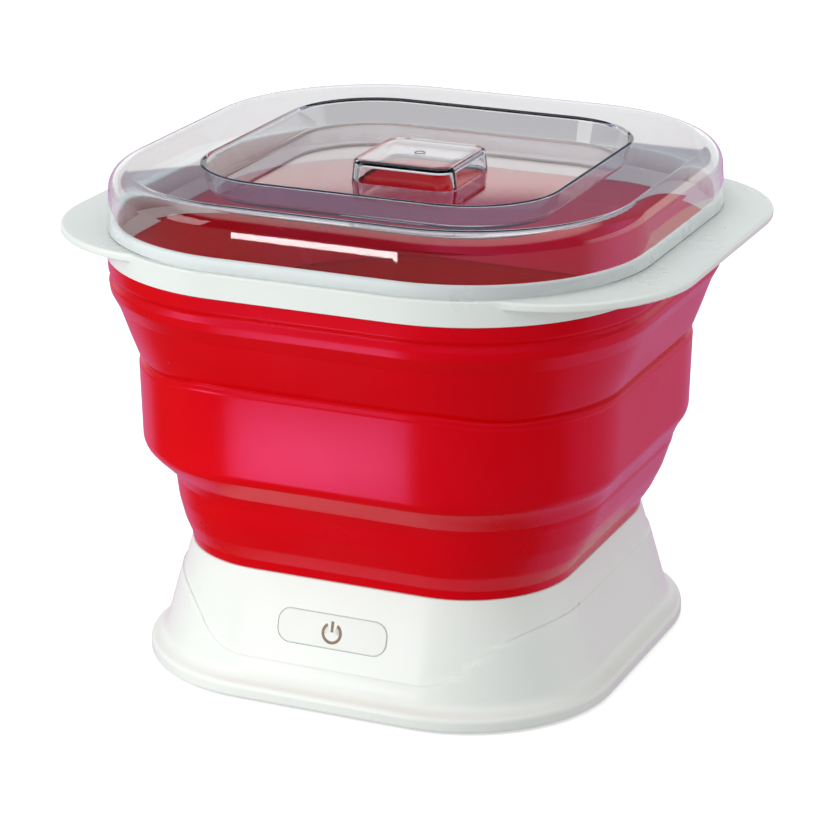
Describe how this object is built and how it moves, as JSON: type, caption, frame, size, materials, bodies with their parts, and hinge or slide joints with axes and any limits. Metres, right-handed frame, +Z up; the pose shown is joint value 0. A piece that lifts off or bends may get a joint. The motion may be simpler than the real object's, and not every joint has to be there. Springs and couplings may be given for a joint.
{
  "type": "yogurt maker",
  "caption": "Collapsible square yogurt maker: folding silicone tub on a white heated base with a push button, white rim with lifting tabs and a clear lift-off lid with a sunken knob.",
  "frame": {"origin": "centre of the rubber feet's resting plane, below the middle of the tub", "axes": "+Z up, -Y is the front with the button, X runs through the lifting tabs"},
  "size_m": [0.27, 0.2322, 0.2114],
  "materials": {
    "white_casing": "warm white semi-gloss moulding",
    "white_rim": "warm white semi-gloss moulding",
    "white_button": "warm white semi-gloss moulding",
    "bronze_icon": "satin bronze inlay",
    "red_silicone": "satin silicone",
    "clear_plastic": "clear polished",
    "plate_aluminium": "fine-brushed",
    "heater_mat": "printed heating mat",
    "insulation": "needled glass felt",
    "shield_steel": "rolled sheet",
    "screw_steel": "zinc plated",
    "clamp_plastic": "glass-filled nylon",
    "cover_plastic": "fine-textured",
    "foot_rubber": "matte grey rubber",
    "board_laminate": "solder-masked laminate",
    "component_black": "moulded case",
    "winding_tape": "taped winding",
    "can_aluminium": "sleeved can",
    "sensor_epoxy": "potted bead",
    "fuse_body": "ceramic body",
    "inlet_black": "moulded socket",
    "pin_brass": "nickel-plated pin",
    "lead_sleeve": "insulated lead"
  },
  "bodies": {
    "base": {"base_casing": "white_casing", "bottom_cover": "cover_plastic", "rubber_feet": "foot_rubber", "cover_screws": "screw_steel", "clamp_ring": "clamp_plastic", "clamp_nuts": "screw_steel", "heater_plate": "plate_aluminium", "heating_element": "heater_mat", "insulation_pad": "insulation", "heat_shield": "shield_steel", "thermistor": "sensor_epoxy", "thermal_fuse": "fuse_body", "main_board": "board_laminate", "board_screws": "screw_steel", "transformer": "winding_tape", "relay": "component_black", "filter_capacitor": "can_aluminium", "switch_board": "board_laminate", "tact_switch": "component_black", "inlet_socket": "inlet_black", "inlet_pins": "pin_brass", "wiring": "lead_sleeve", "silicone_neck": "red_silicone", "silicone_lower_fold": "red_silicone"},
    "band": {"silicone_middle_band": "red_silicone", "silicone_upper_fold": "red_silicone"},
    "rim": {"rim_frame": "white_rim", "retaining_ring": "white_rim", "silicone_collar": "red_silicone"},
    "lid": {"clear_lid": "clear_plastic"},
    "button": {"power_button": "white_button", "power_icon": "bronze_icon"}
  },
  "joints": [
    {"name": "lower_fold", "type": "slide", "parent": "base", "child": "band", "axis": [0, 0, -1], "range_m": [0, 0.036], "deforming": ["silicone_lower_fold"]},
    {"name": "upper_fold", "type": "slide", "parent": "band", "child": "rim", "axis": [0, 0, -1], "range_m": [0, 0.05], "deforming": ["silicone_upper_fold"]},
    {"name": "lid_lift", "type": "slide", "parent": "rim", "child": "lid", "axis": [0, 0, 1], "range_m": [0, 0.06]},
    {"name": "button_press", "type": "slide", "parent": "base", "child": "button", "axis": [0, 0.9624, -0.2717], "range_m": [0, 0.0008], "stiffness_N_per_m": 1500, "springref_m": -0.0004}
  ]
}
